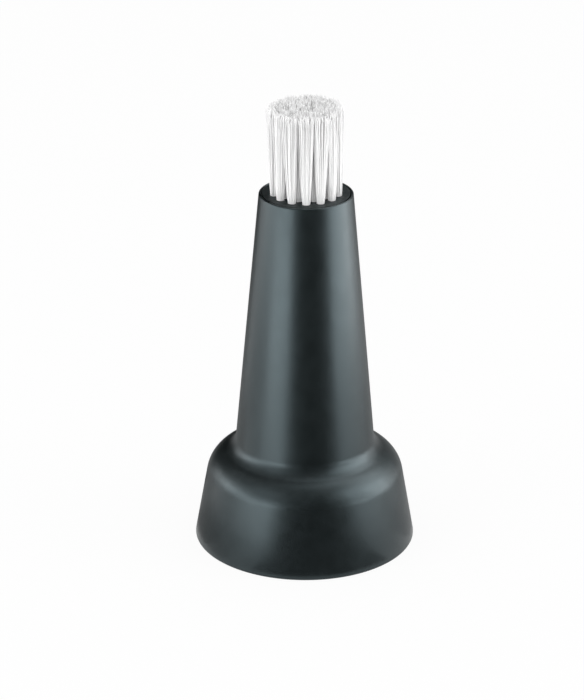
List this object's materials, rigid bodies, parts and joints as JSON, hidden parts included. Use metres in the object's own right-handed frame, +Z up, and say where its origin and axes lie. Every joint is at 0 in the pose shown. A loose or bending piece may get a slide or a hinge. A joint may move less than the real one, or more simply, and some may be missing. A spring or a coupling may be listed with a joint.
{
  "type": "power brush attachment",
  "caption": "Tapered nose attachment for a powered scrubbing tool: a flared skirt, a slim cone and a round field of upright bristles that a hexagon-driven spindle turns.",
  "frame": {"origin": "middle of the skirt's open mouth, on the surface that the part stands on", "axes": "+Z up along the spindle, from the skirt's mouth to the bristle tips; -Y is the front, and the part is alike all round"},
  "size_m": [0.0598, 0.0598, 0.1234],
  "materials": {
    "housing_plastic": "satin grey moulded plastic",
    "plate_plastic": "dark moulded plastic",
    "block_plastic": "matt grey moulded plastic",
    "bush_bronze": "sintered bronze",
    "steel": "ground steel",
    "seal_rubber": "black rubber",
    "bristle_nylon": "white nylon filament"
  },
  "bodies": {
    "housing": {"nose_housing": "housing_plastic", "front_bush": "bush_bronze", "rear_bush": "bush_bronze", "rear_bearing_plate": "plate_plastic", "plate_screw_1": "steel", "plate_screw_2": "steel", "plate_screw_3": "steel", "seal_ring": "seal_rubber"},
    "spindle": {"drive_spindle": "steel", "drive_socket": "steel", "block_pin": "steel", "socket_pin": "steel", "front_thrust_washer": "steel", "rear_thrust_washer": "steel", "tuft_block": "block_plastic", "tuft_01": "bristle_nylon", "tuft_02": "bristle_nylon", "tuft_03": "bristle_nylon", "tuft_04": "bristle_nylon", "tuft_05": "bristle_nylon", "tuft_06": "bristle_nylon", "tuft_07": "bristle_nylon", "tuft_08": "bristle_nylon", "tuft_09": "bristle_nylon", "tuft_10": "bristle_nylon", "tuft_11": "bristle_nylon", "tuft_12": "bristle_nylon", "tuft_13": "bristle_nylon", "tuft_14": "bristle_nylon", "tuft_15": "bristle_nylon", "tuft_16": "bristle_nylon", "tuft_17": "bristle_nylon", "tuft_18": "bristle_nylon", "tuft_19": "bristle_nylon", "tuft_20": "bristle_nylon", "tuft_21": "bristle_nylon", "tuft_22": "bristle_nylon", "tuft_23": "bristle_nylon", "tuft_24": "bristle_nylon", "tuft_25": "bristle_nylon", "tuft_26": "bristle_nylon", "tuft_27": "bristle_nylon", "tuft_28": "bristle_nylon", "tuft_29": "bristle_nylon", "tuft_30": "bristle_nylon", "tuft_31": "bristle_nylon"}
  },
  "joints": [
    {"name": "brush_spin", "type": "hinge", "parent": "housing", "child": "spindle", "pos_m": [0, 0, 0.05], "axis": [0, 0, 1], "continuous": true}
  ]
}
